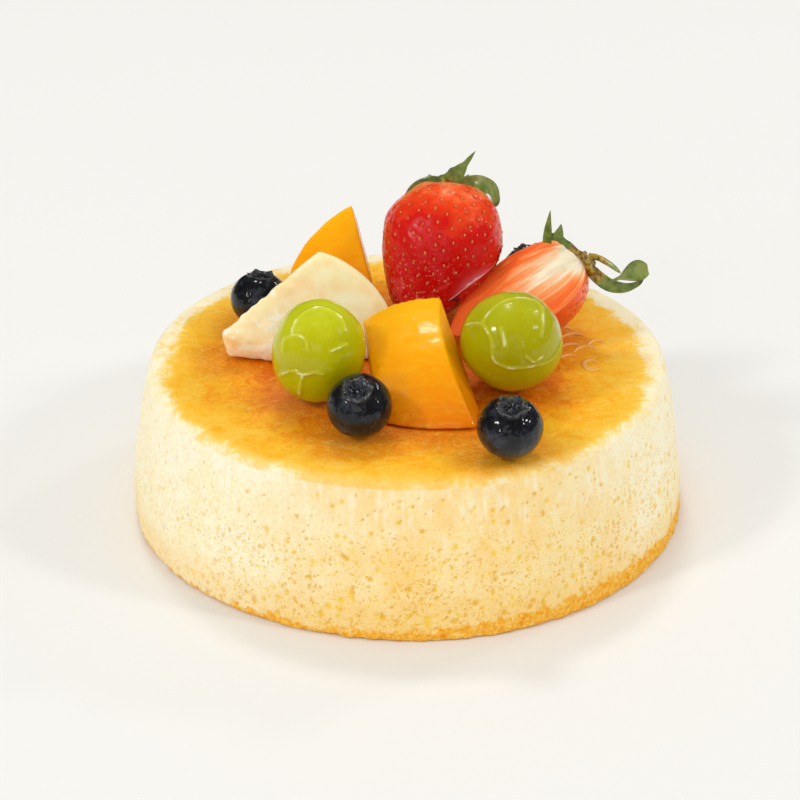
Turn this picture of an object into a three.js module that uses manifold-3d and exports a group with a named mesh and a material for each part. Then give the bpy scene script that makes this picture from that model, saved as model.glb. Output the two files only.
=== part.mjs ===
// A round jiggly cheesecake, topped with glazed fruit: a whole and a half strawberry, two chunks of
// peach, a slice of pear, two grapes and four blueberries. Millimetres, +Z up. The origin is at the
// middle of the cake's foot, on the surface that it stands on. The front of the cake faces -Y.
import * as THREE from "three";
import { mergeVertices } from "three/addons/utils/BufferGeometryUtils.js";
import Module from "manifold-3d";

const manifold = await Module();
manifold.setup();

// Driving dimensions: the cake
const cakeWidth = 142.4; // across its widest part, just above the foot
const cakeHeight = 41.8; // to the middle of the top
const widestHeight = 7; // up to here the side is upright
const topInset = 4.6; // how far the side has drawn in under the top's edge
const footRounding = 1.6;
const topRounding = 3.4;
const topSag = 0.5; // how much lower the top lies beside its edge than in the middle
const cakeSegments = 72;

// Driving dimensions: the fruit
// A strawberry's widestAt is a share of its length. Its shoulder is a superellipse of that fullness,
// and hook is how far its tip bends sideways.
const wholeStrawberry = { length: 39.5, width: 31.8, widestAt: 0.6, fullness: 2.8, dimple: 1.8, hook: 5 };
const halfStrawberry = { length: 39.4, width: 28, widestAt: 0.6, fullness: 2.1, dimple: 1.2, hook: 0 };
const peachFrontRadius = 39.7;
const peachBackRadius = 36.6;
const pearRadius = 28.8;
const blueberryRadius = 8.05;
const crownRadius = 0.37; // of a blueberry's radius
const touchGap = 0.3; // left between pieces that touch
const farAway = 200; // larger than the whole cake

const down = new THREE.Vector3(0, 0, -1);
const up = new THREE.Vector3(0, 0, 1);

// ---- Shapes ----

// A closed skin over rings of points, with a single point at each end.
function loft(firstPoint, rings, lastPoint) {
  const count = rings[0].length;
  const points = [firstPoint, ...rings.flat(), lastPoint];
  const last = points.length - 1;
  const at = (ring, k) => 1 + ring * count + (k % count);
  const index = [];
  for (let k = 0; k < count; k++) {
    index.push(0, at(0, k + 1), at(0, k));
    index.push(last, at(rings.length - 1, k), at(rings.length - 1, k + 1));
  }
  for (let ring = 0; ring < rings.length - 1; ring++) {
    for (let k = 0; k < count; k++) {
      index.push(at(ring, k), at(ring, k + 1), at(ring + 1, k + 1));
      index.push(at(ring, k), at(ring + 1, k + 1), at(ring + 1, k));
    }
  }
  const geometry = new THREE.BufferGeometry();
  const flat = points.flatMap((point) => point.toArray());
  geometry.setAttribute("position", new THREE.Float32BufferAttribute(flat, 3));
  geometry.setIndex(index);
  return geometry;
}

// A round body about +Z: profile is a list of [radius, height] from the bottom to the top, and
// uneven(angle, radius, height) says by how much each point is scaled outward and raised.
function roundBody(profile, segments, uneven) {
  const ring = ([radius, height]) =>
    Array.from({ length: segments }, (_, k) => {
      const angle = (2 * Math.PI * k) / segments;
      const { scale, rise } = uneven(angle, radius, height);
      const reach = radius * scale;
      return new THREE.Vector3(reach * Math.cos(angle), reach * Math.sin(angle), height + rise);
    });
  const [bottom, ...rest] = profile;
  const top = rest.pop();
  return loft(new THREE.Vector3(0, 0, bottom[1]), rest.map(ring), new THREE.Vector3(0, 0, top[1]));
}

// A quarter round from startAngle to endAngle, as [radius, height] points.
function arc(centreRadius, centreHeight, size, startAngle, endAngle, steps) {
  return Array.from({ length: steps + 1 }, (_, i) => {
    const angle = THREE.MathUtils.degToRad(THREE.MathUtils.lerp(startAngle, endAngle, i / steps));
    return [centreRadius + size * Math.cos(angle), centreHeight + size * Math.sin(angle)];
  });
}

function toSolid(geometry) {
  const bare = geometry.clone();
  bare.deleteAttribute("normal");
  bare.deleteAttribute("uv");
  const merged = mergeVertices(bare, 1e-4);
  return new manifold.Manifold(
    new manifold.Mesh({
      numProp: 3,
      vertProperties: new Float32Array(merged.attributes.position.array),
      triVerts: new Uint32Array(merged.index.array),
    }),
  );
}

function toGeometry(solid) {
  const mesh = solid.getMesh();
  const geometry = new THREE.BufferGeometry();
  geometry.setAttribute("position", new THREE.BufferAttribute(mesh.vertProperties, 3));
  geometry.setIndex(new THREE.BufferAttribute(mesh.triVerts, 1));
  return geometry;
}

// The direction with a bearing from +X towards +Y and an elevation above the level, in degrees.
function facing(bearing, elevation) {
  const around = THREE.MathUtils.degToRad(bearing);
  const above = THREE.MathUtils.degToRad(elevation);
  return new THREE.Vector3(
    Math.cos(above) * Math.cos(around),
    Math.cos(above) * Math.sin(around),
    Math.sin(above),
  );
}

// Cuts away all that lies further than distance from the origin in a direction.
function sliceOff(solid, direction, distance) {
  const block = new THREE.BoxGeometry(farAway, farAway, farAway);
  block.translate(0, 0, distance + farAway / 2);
  block.applyQuaternion(new THREE.Quaternion().setFromUnitVectors(up, direction));
  return solid.subtract(toSolid(block));
}

// ---- Placing ----

function piece(name, geometry, color, roughness) {
  const material = new THREE.MeshStandardMaterial({ color, roughness, metalness: 0 });
  const mesh = new THREE.Mesh(geometry, material);
  mesh.name = name;
  return mesh;
}

// Stands a piece with its own +Z along a direction.
function stand(mesh, position, direction) {
  mesh.quaternion.setFromUnitVectors(up, direction);
  mesh.position.copy(position);
  return mesh;
}

// Lays a piece with its own +Z along an axis and its own +X as near as it goes to a face direction.
function lay(mesh, position, axis, face) {
  const side = axis.clone().cross(face).normalize();
  const front = side.clone().cross(axis);
  mesh.quaternion.setFromRotationMatrix(new THREE.Matrix4().makeBasis(front, side, axis));
  mesh.position.copy(position);
  return mesh;
}

function placedSolid(mesh) {
  mesh.updateMatrixWorld(true);
  return toSolid(mesh.geometry.clone().applyMatrix4(mesh.matrixWorld));
}

// Moves a piece along a direction until it meets what carries it, and back by the touching gap.
// It starts reach millimetres before its given place, and is clear of its carriers there.
function settle(mesh, carriers, direction = down, reach = 4) {
  const solid = placedSolid(mesh);
  const carrier = carriers.map(placedSolid);
  const meets = (travel) => {
    const moved = solid.translate(direction.clone().multiplyScalar(travel).toArray());
    return carrier.some((other) => !moved.intersect(other).isEmpty());
  };
  let clear = -reach;
  let touching = reach;
  while (touching - clear > 0.002) {
    const middle = (clear + touching) / 2;
    if (meets(middle)) touching = middle;
    else clear = middle;
  }
  mesh.position.addScaledVector(direction, clear - touchGap);
  return mesh;
}

// ---- The cake ----

// Soft, slow waves in the side and the top, as a souffle cake has when it has sunk a little.
function cakeUnevenness(angle, radius, height) {
  const up01 = THREE.MathUtils.clamp(height / cakeHeight, 0, 1);
  const slow = 0.35 * Math.sin(2 * angle + 0.6) + 0.3 * Math.sin(3 * angle - 1.1);
  const bulge = (slow + 0.25 * Math.sin(5 * angle + 2)) * Math.sin(Math.PI * Math.min(1, 0.15 + up01));
  const out = THREE.MathUtils.smoothstep(radius, 0.6 * cakeWidth / 2, cakeWidth / 2);
  const spread = 0.9 * Math.max(0, Math.cos(angle + 0.6)) * Math.max(0, 1 - 3 * up01);
  const swell = 0.22 * Math.sin(2 * angle + 1.4) + 0.18 * Math.sin(3 * angle + 0.4);
  const wave = swell + 0.12 * Math.sin(7 * angle);
  return {
    scale: 1 + (out * (spread + bulge)) / (cakeWidth / 2),
    rise: up01 > 0.5 ? wave * THREE.MathUtils.smoothstep(radius, 8, cakeWidth / 2) : 0,
  };
}

function cakeGeometry() {
  const widest = cakeWidth / 2;
  const topRadius = widest - topInset;
  const edgeHeight = cakeHeight - topSag;
  const side = Array.from({ length: 6 }, (_, i) => {
    const share = (i + 1) / 7;
    const height = THREE.MathUtils.lerp(footRounding, edgeHeight - topRounding, share);
    const above = Math.max(0, (height - widestHeight) / (edgeHeight - topRounding - widestHeight));
    return [widest - topInset * above ** 1.5, height];
  });
  const topRings = [0.88, 0.72, 0.54, 0.36, 0.18];
  const profile = [
    [0, 0],
    [0.5 * widest, 0],
    ...arc(widest - footRounding, footRounding, footRounding, -90, 0, 3),
    ...side,
    ...arc(topRadius - topRounding, edgeHeight - topRounding, topRounding, 8, 82, 4),
    ...topRings.map((share) => [share * topRadius, cakeHeight - topSag * share ** 4]),
    [0, cakeHeight],
  ];
  return roundBody(profile, cakeSegments, cakeUnevenness);
}

// ---- Strawberries ----

// Half of a strawberry's outline from its tip at height 0 to its hollowed top: [radius, height].
function strawberryProfile({ length, width, widestAt, fullness, dimple }) {
  const radius = width / 2;
  const below = [0.03, 0.1, 0.2, 0.33, 0.48, 0.64, 0.82, 1].map((share) => {
    const narrowing = (1 - share) ** 1.75;
    return [radius * (1 - narrowing) ** 0.72, share * widestAt * length];
  });
  const above = [0.97, 0.88, 0.74, 0.56, 0.38, 0.2].map((share) => {
    const dome = Math.sqrt(1 - share ** fullness);
    const hollow = dimple * Math.exp(-((share / 0.34) ** 2));
    return [radius * share, length * (widestAt + (1 - widestAt) * dome) - hollow];
  });
  return [[0, 0], ...below, ...above, [0, length - dimple]];
}

// A strawberry about +Z, with its tip hooked towards -Y.
function strawberryGeometry(size, segments, phase) {
  const body = roundBody(strawberryProfile(size), segments, (angle, radius, height) => {
    const share = height / size.length;
    const flat = 0.025 * Math.cos(2 * (angle - phase)) + 0.02 * Math.cos(3 * angle + 4 * share + phase);
    const tilt = 0.35 * (radius / size.width) * Math.sin(3 * angle + phase);
    return { scale: 1 + flat, rise: tilt * share };
  });
  const place = body.attributes.position;
  for (let i = 0; i < place.count; i++) {
    const toTip = Math.max(0, 1 - place.getZ(i) / (size.widestAt * size.length));
    place.setY(i, place.getY(i) - size.hook * toTip ** 1.6);
  }
  return body;
}

// One green leaf of a strawberry's cap. It leaves the middle at a bearing and a slope, which change
// along its length by turn and rise, so that it can lie along the berry, stand up or curl over.
// Roll twists it about its own length.
function sepalGeometry({ bearing, turn = 0, slope, rise = 0, roll = 0, length, width, cup = 0.25 }) {
  const thickness = 0.8;
  const twist = THREE.MathUtils.degToRad(roll);
  const stations = 8;
  const outline = [[-1, 0], [-0.5, -0.5], [0.5, -0.5], [1, 0], [0.5, 0.5], [-0.5, 0.5]];
  const spot = facing(bearing, 0).multiplyScalar(0.6);
  const start = facing(bearing, 0).multiplyScalar(0.2);
  const rings = [];
  for (let i = 0; i <= stations; i++) {
    const share = i / (stations + 1);
    const bearingHere = bearing + turn * share;
    const slopeHere = slope + rise * share ** 3;
    const raised = facing(bearingHere, slopeHere + 90);
    const level = facing(bearingHere + 90, 0);
    const cosine = Math.cos(twist * Math.min(1, 2 * share));
    const sine = Math.sin(twist * Math.min(1, 2 * share));
    const across = level.clone().multiplyScalar(cosine).addScaledVector(raised, sine);
    const normal = raised.clone().multiplyScalar(cosine).addScaledVector(level, -sine);
    const fullness = 0.45 + 0.55 * Math.sin(Math.PI * Math.min(1, 1.3 * share));
    const half = (width / 2) * fullness * (1 - share ** 4);
    const depth = thickness * (1 - 0.5 * share);
    rings.push(outline.map(([side, face]) => spot.clone()
      .addScaledVector(across, half * side)
      .addScaledVector(normal, depth * face + cup * half * side * side)));
    spot.addScaledVector(facing(bearingHere, slopeHere), length / (stations + 1));
  }
  return loft(start, rings, spot);
}

// The cap: a small knob in the middle with its leaves joined to it.
function capGeometry(knobRadius, knobHeight, sepals) {
  const knob = [[0, -0.6], [0.7 * knobRadius, -0.5], [knobRadius, 0], [0.7 * knobRadius, 0.6 * knobHeight],
    [0.35 * knobRadius, knobHeight], [0, knobHeight]];
  const plain = () => ({ scale: 1, rise: 0 });
  const middle = toSolid(roundBody(knob, 12, plain));
  return sepals.reduce((cap, sepal) => cap.add(toSolid(sepalGeometry(sepal))), middle);
}

// ---- Peach and pear ----

// What is left of a round fruit between flat cuts. Each cut has the bearing and the elevation of
// the direction that it faces, and its distance from the middle of the fruit.
function cutFruit(radius, cuts) {
  const round = toSolid(new THREE.SphereGeometry(radius, 40, 26));
  return toGeometry(cuts.reduce((rest, { bearing, elevation, distance }) =>
    sliceOff(rest, facing(bearing, elevation), distance), round));
}

// ---- Grapes and blueberries ----

function grapeGeometry(width, length) {
  const rows = 15;
  const profile = Array.from({ length: rows }, (_, i) => {
    const angle = -Math.PI / 2 + (Math.PI * i) / (rows - 1);
    return [(width / 2) * Math.cos(angle) ** 0.94, (length / 2) * Math.sin(angle)];
  });
  profile[0][0] = 0;
  profile[rows - 1][0] = 0;
  return roundBody(profile, 22, (angle, radius, height) => ({
    scale: 1 + 0.012 * Math.cos(2 * angle + 0.8) + 0.008 * Math.cos(3 * angle + height / 4),
    rise: 0,
  }));
}

// A blueberry about +Z: slightly flattened, with a five-pointed crown round a hollow on top.
function blueberryGeometry(radius, flatness) {
  const crown = crownRadius * radius;
  const height = (r) => flatness * Math.sqrt(radius ** 2 - r ** 2);
  const below = [-78, -60, -40, -18, 4, 24, 42].map((latitude) => {
    const angle = THREE.MathUtils.degToRad(latitude);
    return [radius * Math.cos(angle), flatness * radius * Math.sin(angle)];
  });
  const lip = 0.1 * radius;
  const profile = [
    [0, -flatness * radius],
    ...below,
    [1.18 * crown, height(1.18 * crown)],
    [crown, height(crown) + lip],
    [0.78 * crown, height(crown) + 0.6 * lip],
    [0.55 * crown, height(crown) - lip],
    [0, height(crown) - lip],
  ];
  return roundBody(profile, 20, (angle, r, z) => {
    const onCrown = z > 0 && r > 0.7 * crown && r < 1.1 * crown ? 1 : 0;
    const point = onCrown * Math.cos(5 * angle);
    return { scale: 1 + 0.12 * point, rise: 0.45 * lip * point };
  });
}

// ---- The pieces ----

const cake = piece("cake", cakeGeometry(), "#f3d993", 0.75);

const peachFront = piece("peach_front", cutFruit(peachFrontRadius, [
  { bearing: 0, elevation: -90, distance: -20.6 },
  { bearing: -6, elevation: 32, distance: 20.6 },
  { bearing: 78.3, elevation: -48.5, distance: -28.9 },
  { bearing: 186, elevation: -4, distance: 17.4 },
]), "#f7a80c", 0.3);
peachFront.position.set(8.9, -9.8, 20.7);

const pear = piece("pear", cutFruit(pearRadius, [
  { bearing: 0, elevation: -90, distance: 2.4 },
  { bearing: -79, elevation: 37.3, distance: 0.8 },
  { bearing: 101, elevation: -37.3, distance: 7.7 },
  { bearing: 143, elevation: 32, distance: 16 },
  { bearing: 186, elevation: -7.5, distance: 16.6 },
  { bearing: -100, elevation: -12, distance: 1 },
]), "#f2dcae", 0.25);
pear.position.set(-29.2, -8, 43.7);

const peachBack = piece("peach_back", cutFruit(peachBackRadius, [
  { bearing: 0, elevation: -90, distance: 0 },
  { bearing: -86.5, elevation: 43.3, distance: 5.9 },
  { bearing: 93.5, elevation: -43.3, distance: 6.1 },
  { bearing: 5, elevation: 14.4, distance: -8.6 },
  { bearing: 180, elevation: 0, distance: 33.2 },
]), "#f9a60a", 0.3);
peachBack.position.set(3.1, 13.8, 41.3);

const grapeLeft = stand(piece("grape_left", grapeGeometry(23.4, 26), "#a9b51a", 0.2),
  new THREE.Vector3(-21.6, -26.7, 54), facing(0, 80));
const grapeRight = stand(piece("grape_right", grapeGeometry(25.4, 27), "#a6b412", 0.2),
  new THREE.Vector3(25.9, -21.2, 54), facing(-80, 25));

const wholeAxis = new THREE.Vector3(0.1, 0.43, 0.89).normalize();
const wholeBody = strawberryGeometry(wholeStrawberry, 28, 0.5);
const strawberryWhole = piece("strawberry_whole", wholeBody, "#d3160f", 0.3);
lay(strawberryWhole, new THREE.Vector3(7, 12.6, 42), wholeAxis, facing(-90, 0));

const halfAxis = new THREE.Vector3(0.858, 0.205, 0.47).normalize();
const halfFace = new THREE.Vector3(-0.45, -0.12, 0.884);
const halfBody = sliceOff(toSolid(strawberryGeometry(halfStrawberry, 28, 0)), facing(0, 0), 0);
const strawberryHalf = piece("strawberry_half", toGeometry(halfBody), "#e8421c", 0.3);
lay(strawberryHalf, new THREE.Vector3(11.3, 3, 43.5), halfAxis, halfFace);

// Leaves by bearing about their strawberry's axis. On the whole one, 0 is the front and 90 the
// right. On the half one, 0 is the side that is cut away and 90 the front.
const wholeCap = piece("strawberry_whole_cap", toGeometry(capGeometry(3.2, 1.6, [
  { bearing: 112, slope: 38, rise: 40, roll: -75, length: 12.5, width: 5.4, cup: 0.1 },
  { bearing: 70, slope: -14, rise: 430, length: 19, width: 5.2, cup: 0.1 },
  { bearing: 284, slope: -7, rise: -60, length: 13, width: 4 },
  { bearing: 190, slope: 2, rise: -40, length: 12, width: 5 },
  { bearing: 228, slope: 0, rise: -40, length: 12, width: 4.6 },
])), "#5f8a2c", 0.5);

const halfCap = piece("strawberry_half_cap", toGeometry(capGeometry(2.8, 2, [
  { bearing: 178, slope: 10, rise: 170, roll: 62, length: 22, width: 7, cup: 0.4 },
  { bearing: 100, slope: 38, rise: -20, length: 10, width: 1.8 },
  { bearing: -60, turn: 40, slope: -34, rise: 90, roll: 30, length: 17, width: 5.4 },
  { bearing: 225, slope: 0, rise: -35, length: 9, width: 4.4 },
])), "#5f8a2c", 0.5);

function blueberry(name, x, y, radius, crownBearing, crownElevation) {
  const mesh = piece(name, blueberryGeometry(radius, 0.92), "#2b3142", 0.45);
  return stand(mesh, new THREE.Vector3(x, y, cakeHeight + radius), facing(crownBearing, crownElevation));
}

const blueberries = [
  blueberry("blueberry_front_left", -11.2, -45, blueberryRadius, -98, 60),
  blueberry("blueberry_front_right", 24.2, -54.9, 0.985 * blueberryRadius, -85, 72),
  blueberry("blueberry_back_left", -38.2, 14.6, 0.97 * blueberryRadius, 50, 82),
  blueberry("blueberry_back_right", 33.3, 34.4, 0.92 * blueberryRadius, 135, 80),
];

// ---- Everything in its place ----

for (const fruit of [peachFront, pear, peachBack, grapeLeft, grapeRight, strawberryWhole, strawberryHalf]) {
  settle(fruit, [cake]);
}
for (const berry of blueberries) settle(berry, [cake]);

// A cap sits in the hollow of its strawberry's top.
function seatCap(cap, berry, length) {
  const axis = up.clone().applyQuaternion(berry.quaternion);
  cap.quaternion.copy(berry.quaternion);
  cap.position.copy(berry.position).addScaledVector(axis, length);
  settle(cap, [berry], axis.negate());
}
seatCap(wholeCap, strawberryWhole, wholeStrawberry.length);
seatCap(halfCap, strawberryHalf, halfStrawberry.length);

// The middle of the cake's foot goes to the origin.
const pieces = [cake, peachFront, pear, peachBack, grapeLeft, grapeRight];
pieces.push(strawberryWhole, wholeCap, strawberryHalf, halfCap, ...blueberries);
const middle = new THREE.Box3().setFromObject(cake).getCenter(new THREE.Vector3());
for (const mesh of pieces) mesh.position.sub(new THREE.Vector3(middle.x, middle.y, 0));

const whole = new THREE.Group();
whole.add(...pieces);
export default whole;
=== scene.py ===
"""A souffle cheesecake topped with glazed fruit: the looks, built round the part's nodes.

Everything is in millimetres here and goes to metres in make_object(). +X is right, -Y is the front.
"""

import math

import bpy
import numpy as np
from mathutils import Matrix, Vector, noise


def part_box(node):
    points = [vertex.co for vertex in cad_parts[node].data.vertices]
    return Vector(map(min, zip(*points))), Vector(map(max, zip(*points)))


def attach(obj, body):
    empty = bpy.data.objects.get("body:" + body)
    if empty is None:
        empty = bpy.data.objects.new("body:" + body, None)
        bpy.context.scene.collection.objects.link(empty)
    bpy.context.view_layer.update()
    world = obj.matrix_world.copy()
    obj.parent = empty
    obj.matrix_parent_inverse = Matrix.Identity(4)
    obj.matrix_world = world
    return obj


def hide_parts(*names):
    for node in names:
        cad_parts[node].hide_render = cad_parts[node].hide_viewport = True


MM = 0.001
SEED = 7

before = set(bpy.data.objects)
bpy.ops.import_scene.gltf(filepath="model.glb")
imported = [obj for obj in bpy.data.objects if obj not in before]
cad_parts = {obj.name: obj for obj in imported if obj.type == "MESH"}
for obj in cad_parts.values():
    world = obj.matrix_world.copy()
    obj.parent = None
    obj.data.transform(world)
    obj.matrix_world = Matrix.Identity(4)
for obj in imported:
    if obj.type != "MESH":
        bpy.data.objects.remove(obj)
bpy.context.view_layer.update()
rng = np.random.default_rng(SEED)


# ------------ places


def node_points(node):
    """The corners of a node in millimetres."""
    return np.array([v.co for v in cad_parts[node].data.vertices]) / MM


def node_box(node):
    """The low and the high corner of a node's box in millimetres."""
    return [np.array(corner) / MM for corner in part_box(node)]


def node_middle(node):
    low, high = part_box(node)
    return np.array((low + high) / 2) / MM


def unit(vector):
    vector = np.asarray(vector, float)
    return vector / np.linalg.norm(vector)


def unit_rows(vectors):
    return vectors / np.linalg.norm(vectors, axis=1)[:, None]


def pushed(points, directions, distances):
    """Points moved along their directions by one distance each."""
    return points + directions * distances[:, None]


def full_turn(count):
    """Angles evenly round a full turn."""
    return np.linspace(0, 2 * np.pi, count, endpoint=False)


def rounded(angle, radius, height):
    """Points at an angle and a radius about the upright axis."""
    return np.stack([radius * np.cos(angle), radius * np.sin(angle), height], axis=-1)


def spun(profile, columns):
    """Angle, radius and height of each point of [radius, height] rows turned round the axis."""
    angle = np.tile(full_turn(columns), len(profile))
    return angle, np.repeat(profile[:, 0], columns), np.repeat(profile[:, 1], columns)


def axes_from(axis, face):
    """Rows X, Y, Z of a piece's own frame: Z along axis, X as near as it goes to face."""
    z = unit(axis)
    y = unit(np.cross(z, face))
    return np.array([np.cross(y, z), y, z])


def smoothstep(low, high, value):
    share = np.clip((value - low) / (high - low), 0, 1)
    return share * share * (3 - 2 * share)


def soft_noise(points, size, seed=0.0):
    """Smooth noise from -1 to 1 whose lumps are about size millimetres, one value a point."""
    shift = Vector((seed, 2.3 * seed, -1.7 * seed))
    return np.array([noise.noise(Vector(p) / size + shift) for p in points])


def lumps(points, *layers):
    """The sum of layers of soft noise, each one (height, size, seed) in millimetres."""
    return sum(height * soft_noise(points, size, seed) for height, size, seed in layers)


# ------------ meshes


def add_to_scene(name, data):
    piece = bpy.data.objects.new(name, data)
    bpy.context.scene.collection.objects.link(piece)
    return piece


def make_mesh(name, points, faces):
    mesh = bpy.data.meshes.new(name)
    mesh.from_pydata(points.tolist(), [], [list(map(int, face)) for face in faces])
    return mesh


def make_object(name, points, faces, attributes=None):
    """A smooth-shaded mesh from millimetre points. Each attribute is one number a point."""
    mesh = make_mesh(name, points * MM, faces)
    mesh.polygons.foreach_set("use_smooth", [True] * len(mesh.polygons))
    for key, values in (attributes or {}).items():
        layer = mesh.attributes.new(key, "FLOAT", "POINT")
        layer.data.foreach_set("value", np.asarray(values, np.float32))
    mesh.update()
    return add_to_scene(name, mesh)


def finish_piece(piece, material, slot=None, *nodes):
    """Gives a piece its material and its body, and hides the nodes that it stands for. The slot is not used.
    """
    piece.data.materials.clear()
    piece.data.materials.append(material)
    if nodes:
        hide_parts(*nodes)
    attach(piece, "root")


def capped_ring_faces(rows, columns):
    """A closed skin over rings of points, then one bottom point and one top point."""
    faces = []
    for row in range(rows - 1):
        for column in range(columns):
            a = row * columns + column
            b = row * columns + (column + 1) % columns
            faces.append((a, b, b + columns, a + columns))
    bottom, top = rows * columns, rows * columns + 1
    last = (rows - 1) * columns
    for k in range(columns):
        following = (k + 1) % columns
        faces.append((bottom, following, k))
        faces.append((top, last + k, last + following))
    return faces


def point_normals(points, faces):
    """Unit normals at the points of a mesh."""
    mesh = make_mesh("normals", points, faces)
    mesh.update()
    normals = np.empty(3 * len(mesh.vertices), np.float32)
    mesh.vertex_normals.foreach_get("vector", normals)
    bpy.data.meshes.remove(mesh)
    return normals.reshape(-1, 3).astype(float)


def joined(parts):
    """One list of points and one of faces from several (points, faces) pairs."""
    faces, offset = [], 0
    for points, part_faces in parts:
        faces.extend([tuple(corner + offset for corner in face) for face in part_faces])
        offset += len(points)
    return np.concatenate([points for points, _ in parts]), faces


def softened_copy(node, voxel, smoothing):
    """Points and faces of a node with its edges rounded: an even mesh of voxel millimetres."""
    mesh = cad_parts[node].data.copy()
    copy = add_to_scene("copy", mesh)
    remesh = copy.modifiers.new("even", "REMESH")
    remesh.mode = "VOXEL"
    remesh.voxel_size = voxel * MM
    smooth = copy.modifiers.new("soft", "SMOOTH")
    smooth.factor = 0.5
    smooth.iterations = smoothing
    fine = bpy.data.meshes.new_from_object(copy.evaluated_get(bpy.context.evaluated_depsgraph_get()))
    points = np.array([v.co for v in fine.vertices]) / MM
    faces = [tuple(p.vertices) for p in fine.polygons]
    bpy.data.objects.remove(copy)
    bpy.data.meshes.remove(fine)
    return points, faces


# ------------ materials


def screen_colour(values):
    """A colour from its 0..255 screen values."""
    def linear(value):
        value = value / 255
        return value / 12.92 if value <= 0.04045 else ((value + 0.055) / 1.055) ** 2.4

    return (*map(linear, values), 1.0)


class Shader:
    """A Principled material and short ways to build the nodes that feed it.

    A colour is a link, a tuple of its 0..255 screen values, or a list of linear ones and alpha.
    """

    def __init__(self, name, **settings):
        self.material = bpy.data.materials.new(name)
        self.material.use_nodes = True
        self.tree = self.material.node_tree
        self.bsdf = self.tree.nodes["Principled BSDF"]
        self._place = None
        self.feed(**settings)

    def node(self, kind, **inputs):
        node = self.tree.nodes.new(kind)
        for socket, value in inputs.items():
            self.put(node.inputs[socket.replace("_", " ")], value)
        return node

    def put(self, socket, value):
        if isinstance(value, bpy.types.NodeSocket):
            self.tree.links.new(value, socket)
        else:
            socket.default_value = value

    def place(self):
        """Object coordinates in millimetres."""
        if self._place is None:
            coordinates = self.tree.nodes.new("ShaderNodeTexCoord")
            self._place = self.stretch(coordinates.outputs["Object"], (1 / MM,) * 3)
        return self._place

    def stretch(self, vector, scale):
        node = self.tree.nodes.new("ShaderNodeVectorMath")
        node.operation = "MULTIPLY"
        self.put(node.inputs[0], vector)
        node.inputs[1].default_value = scale
        return node.outputs["Vector"]

    def combine(self, x, y, z):
        return self.node("ShaderNodeCombineXYZ", X=x, Y=y, Z=z).outputs["Vector"]

    def split(self, vector):
        node = self.node("ShaderNodeSeparateXYZ", Vector=vector)
        return node.outputs["X"], node.outputs["Y"], node.outputs["Z"]

    def attribute(self, name):
        node = self.tree.nodes.new("ShaderNodeAttribute")
        node.attribute_name = name
        return node.outputs["Fac"]

    def noise(self, size, detail=3.0, roughness=0.5, distortion=0.0, vector=None, kind="FBM"):
        """Noise from 0 to 1 with lumps of about size millimetres."""
        node = self.node("ShaderNodeTexNoise", Vector=vector or self.place(), Scale=1 / size,
                         Detail=detail, Roughness=roughness, Distortion=distortion)
        node.noise_type = kind
        node.normalize = True
        return node.outputs["Fac"]

    def cells(self, size):
        """Distance to the nearest of scattered points about size millimetres apart."""
        node = self.node("ShaderNodeTexVoronoi", Vector=self.place(), Scale=1 / size)
        return node.outputs["Distance"]

    def math(self, operation, first, second=0.0, clamp=False):
        node = self.tree.nodes.new("ShaderNodeMath")
        node.operation = operation
        node.use_clamp = clamp
        self.put(node.inputs[0], first)
        self.put(node.inputs[1], second)
        return node.outputs["Value"]

    def times(self, first, second, clamp=False):
        return self.math("MULTIPLY", first, second, clamp)

    def plus(self, first, second):
        return self.math("ADD", first, second)

    def minus(self, first, second):
        return self.math("SUBTRACT", first, second)

    def swing(self, value, amount):
        """A value of 0..1 as one from -amount / 2 to amount / 2."""
        return self.times(self.minus(value, 0.5), amount)

    def fit(self, value, low, high, to_low=0.0, to_high=1.0):
        """Maps low..high to to_low..to_high with soft ends."""
        node = self.node("ShaderNodeMapRange", Value=value, From_Min=low, From_Max=high,
                         To_Min=to_low, To_Max=to_high)
        node.interpolation_type = "SMOOTHSTEP"
        return node.outputs["Result"]

    def height_share(self, name):
        """How high a point lies in the box of the frame's node of that name, from 0 to 1."""
        low, high = (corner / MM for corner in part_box(name))
        height = self.split(self.place())[2]
        return self.math("DIVIDE", self.minus(height, low.z), high.z - low.z)

    def ramp(self, value, *stops):
        """A ramp of (position, colour) stops."""
        node = self.node("ShaderNodeValToRGB", Fac=value)
        elements = node.color_ramp.elements
        while len(elements) < len(stops):
            elements.new(0.5)
        for element, (position, colour) in zip(elements, stops):
            element.position = position
            element.color = screen_colour(colour)
        return node.outputs["Color"]

    def mix(self, share, first, second):
        node = self.tree.nodes.new("ShaderNodeMix")
        node.data_type = "RGBA"
        self.put(node.inputs["Factor"], share)
        for socket, colour in ((node.inputs[6], first), (node.inputs[7], second)):
            self.put(socket, screen_colour(colour) if isinstance(colour, tuple) else colour)
        return node.outputs[2]

    def mix_vectors(self, share, first, second):
        node = self.tree.nodes.new("ShaderNodeMix")
        node.data_type = "VECTOR"
        self.put(node.inputs[0], share)
        self.put(node.inputs[4], first)
        self.put(node.inputs[5], second)
        return node.outputs[1]

    def bump(self, height, distance, strength=1.0, normal=None):
        """A normal from a height of 0..1 that stands for distance millimetres."""
        node = self.node("ShaderNodeBump", Height=height, Strength=strength, Distance=distance * MM)
        if normal is not None:
            self.put(node.inputs["Normal"], normal)
        return node.outputs["Normal"]

    def translucent(self, weight, reach, *spread):
        """Light goes about reach millimetres in; spread says how far red, green and blue go of that."""
        self.feed(Subsurface_Weight=weight, Subsurface_Scale=reach * MM)
        if spread:
            self.feed(Subsurface_Radius=spread)

    def feed(self, **inputs):
        """Links or sets inputs of the Principled shader, and returns the material."""
        for socket, value in inputs.items():
            self.put(self.bsdf.inputs[socket.replace("_", " ")], value)
        return self.material


# ------------ the cake

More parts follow.
